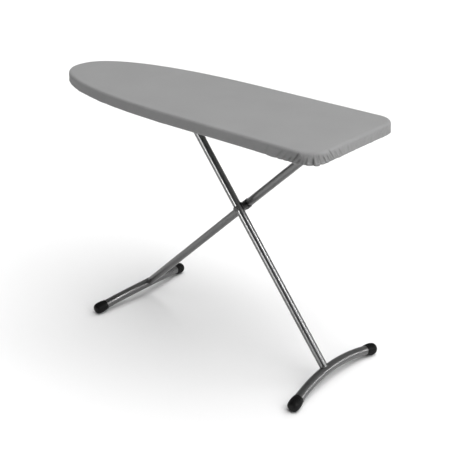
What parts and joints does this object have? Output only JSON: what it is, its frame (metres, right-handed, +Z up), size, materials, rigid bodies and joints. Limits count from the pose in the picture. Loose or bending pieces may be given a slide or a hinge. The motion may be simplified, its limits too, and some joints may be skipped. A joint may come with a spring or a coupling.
{
  "type": "folding ironing board",
  "caption": "Free-standing ironing board with a tapered padded top in a gathered cloth cover and single-tube legs that cross, fold flat and end in bowed feet with rubber caps.",
  "frame": {"origin": "on the floor, under the middle of the board's length and width", "axes": "+X along the board towards the square heel, -X towards the rounded nose, +Y across the board, +Z up"},
  "size_m": [1.24, 0.4824, 0.87],
  "materials": {
    "cover_cloth": "matte woven cotton",
    "elastic": "matte ribbed elastic",
    "padding": "matte felt",
    "frame_steel": "satin grey paint",
    "leg_steel": "satin metallic grey",
    "bright_steel": "zinc plated",
    "cap_rubber": "matte black rubber",
    "black_plastic": "matte black plastic"
  },
  "bodies": {
    "deck": {"cover": "cover_cloth", "hem_elastic": "elastic", "pad": "padding", "perforated_deck": "frame_steel", "rim_frame": "frame_steel", "cross_brace_1": "frame_steel", "cross_brace_2": "frame_steel", "cross_brace_3": "frame_steel", "cross_brace_4": "frame_steel", "cross_brace_5": "frame_steel", "slide_rail": "frame_steel", "heel_bracket": "frame_steel", "rail_rivets": "bright_steel", "heel_pin": "bright_steel", "heel_pin_clip": "bright_steel", "heel_spacer_short": "black_plastic", "heel_spacer_long": "black_plastic", "lever_pin": "bright_steel", "lever_washer": "black_plastic", "lever_clip": "bright_steel", "lever_spring": "bright_steel"},
    "pivot_leg": {"pivot_leg_tube": "leg_steel", "pivot_leg_sleeve": "leg_steel", "nose_foot_tube": "leg_steel", "nose_foot_cap_near": "cap_rubber", "nose_foot_cap_far": "cap_rubber", "centre_bolt": "bright_steel", "lock_nut": "bright_steel", "pivot_leg_inner_saddle": "black_plastic", "pivot_leg_outer_saddle": "bright_steel"},
    "sliding_leg": {"sliding_leg_tube": "leg_steel", "sliding_leg_sleeve": "leg_steel", "slide_rod": "bright_steel", "rod_cap_near": "black_plastic", "rod_cap_far": "black_plastic", "rod_spacer_short": "black_plastic", "rod_spacer_long": "black_plastic", "heel_foot_tube": "leg_steel", "heel_foot_cap_near": "cap_rubber", "heel_foot_cap_far": "cap_rubber", "sliding_leg_inner_saddle": "black_plastic", "sliding_leg_outer_saddle": "bright_steel"},
    "release_lever": {"lever_plate": "frame_steel", "lever_bar": "frame_steel", "lever_grip": "black_plastic"}
  },
  "joints": [
    {"name": "leg_fold", "type": "hinge", "parent": "deck", "child": "pivot_leg", "pos_m": [0.504, 0, 0.834], "axis": [0, 1, 0], "range_deg": [0, 42.08]},
    {"name": "leg_crossing", "type": "hinge", "parent": "pivot_leg", "child": "sliding_leg", "pos_m": [0.17821, 0, 0.52267], "axis": [0, 1, 0], "range_deg": [-91.4, 0]},
    {"name": "lever_squeeze", "type": "hinge", "parent": "deck", "child": "release_lever", "pos_m": [-0.015, 0, 0.834], "axis": [0, -1, 0], "range_deg": [0, 6], "stiffness_Nm_per_rad": 6, "springref_deg": -5.73}
  ],
  "couplings": [
    {"joint": "leg_crossing", "follows": "leg_fold", "ratio": -2.171}
  ]
}
